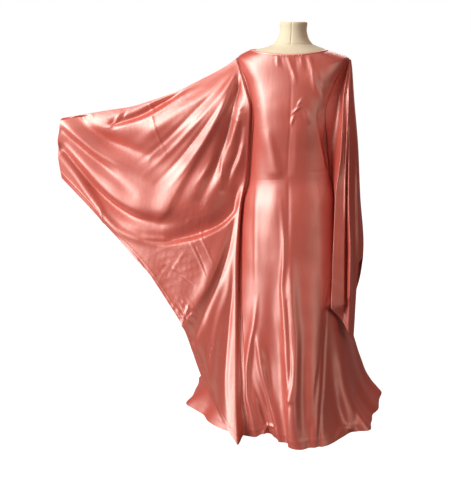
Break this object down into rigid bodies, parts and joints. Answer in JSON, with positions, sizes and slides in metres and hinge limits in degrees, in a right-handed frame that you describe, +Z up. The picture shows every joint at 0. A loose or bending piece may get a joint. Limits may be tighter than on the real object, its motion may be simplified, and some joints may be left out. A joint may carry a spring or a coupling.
{
  "type": "kaftan on limbless dress form",
  "caption": "Floor-length satin kaftan with a boat neck and wide butterfly sleeves, the right sleeve held out and the left hanging, worn on a limbless dress form.",
  "frame": {"origin": "centre of the underside of the dress form's foot, on the ground", "axes": "+Z up, the front of the dress faces -Y, +X is the viewer's right with the hanging sleeve"},
  "size_m": [1.2671, 0.7181, 1.461],
  "materials": {
    "satin": "soft coral satin with a bright pale sheen",
    "binding": "narrow bias binding of the same satin",
    "linen": "natural linen cover, matt",
    "stand": "brushed"
  },
  "bodies": {
    "root": {"bodice_front": "satin", "bodice_back": "satin", "skirt_front": "satin", "skirt_back": "satin", "raised_sleeve_front": "satin", "raised_sleeve_back": "satin", "hanging_sleeve_front": "satin", "hanging_sleeve_back": "satin", "neck_binding": "binding", "form_torso": "linen", "form_pole": "stand", "form_base": "stand"}
  },
  "joints": []
}
